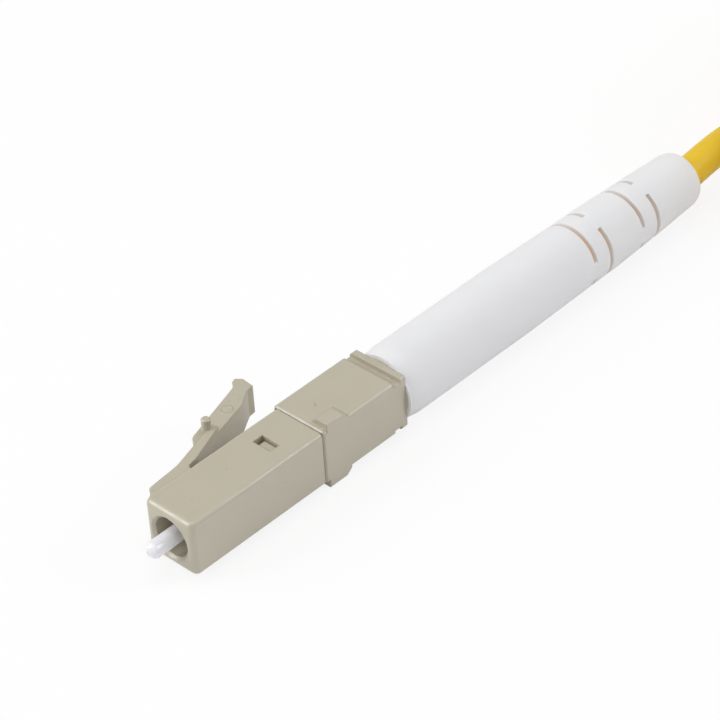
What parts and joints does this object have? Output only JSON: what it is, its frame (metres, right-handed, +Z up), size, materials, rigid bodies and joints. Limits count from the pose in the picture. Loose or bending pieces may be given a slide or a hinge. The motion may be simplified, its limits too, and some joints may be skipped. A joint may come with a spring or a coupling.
{
  "type": "lc fibre connector",
  "caption": "Small square fibre optic plug with a ceramic ferrule, a flexing latch and a long strain relief boot, on a tied length of cable.",
  "frame": {"origin": "middle of the connector without its loose cable, on the surface it lies on", "axes": "+X the way the plug enters its adapter, -Y the latch's side, +Z up as it lies"},
  "size_m": [0.1385, 0.0281, 0.0083],
  "materials": {
    "beige_plastic": "satin moulded",
    "ceramic": "polished zirconia",
    "steel": "turned",
    "epoxy": "cured amber resin",
    "spring_steel": "drawn wire",
    "crimp_metal": "drawn and crimped",
    "boot_rubber": "matt white elastomer",
    "jacket": "extruded yellow jacket",
    "yarn": "aramid yarn",
    "buffer": "extruded",
    "fibre_glass": "polished end face",
    "tie_fabric": "woven hook and loop"
  },
  "bodies": {
    "connector_body": {"plug_housing": "beige_plastic", "rear_body": "beige_plastic", "crimp_sleeve": "crimp_metal", "strain_relief_boot": "boot_rubber", "cable_jacket": "jacket", "aramid_yarn": "yarn", "ferrule_spring": "spring_steel", "cable_run": "jacket", "cable_hank": "jacket", "hank_tie_near": "tie_fabric", "hank_tie_far": "tie_fabric"},
    "latch": {"latch_lever": "beige_plastic"},
    "ferrule_carrier": {"ferrule": "ceramic", "ferrule_holder": "steel", "ferrule_bond": "epoxy", "tight_buffer": "buffer", "optical_fibre": "fibre_glass"}
  },
  "joints": [
    {"name": "latch_flex", "type": "hinge", "parent": "connector_body", "child": "latch", "pos_m": [0.02087, -0.00053, 0.00275], "axis": [0, 0, -1], "range_deg": [0, 15], "stiffness_Nm_per_rad": 0.17},
    {"name": "ferrule_float", "type": "slide", "parent": "connector_body", "child": "ferrule_carrier", "axis": [-1, 0, 0], "range_m": [0, 0.0008], "stiffness_N_per_m": 50, "deforming": ["ferrule_spring"]}
  ]
}
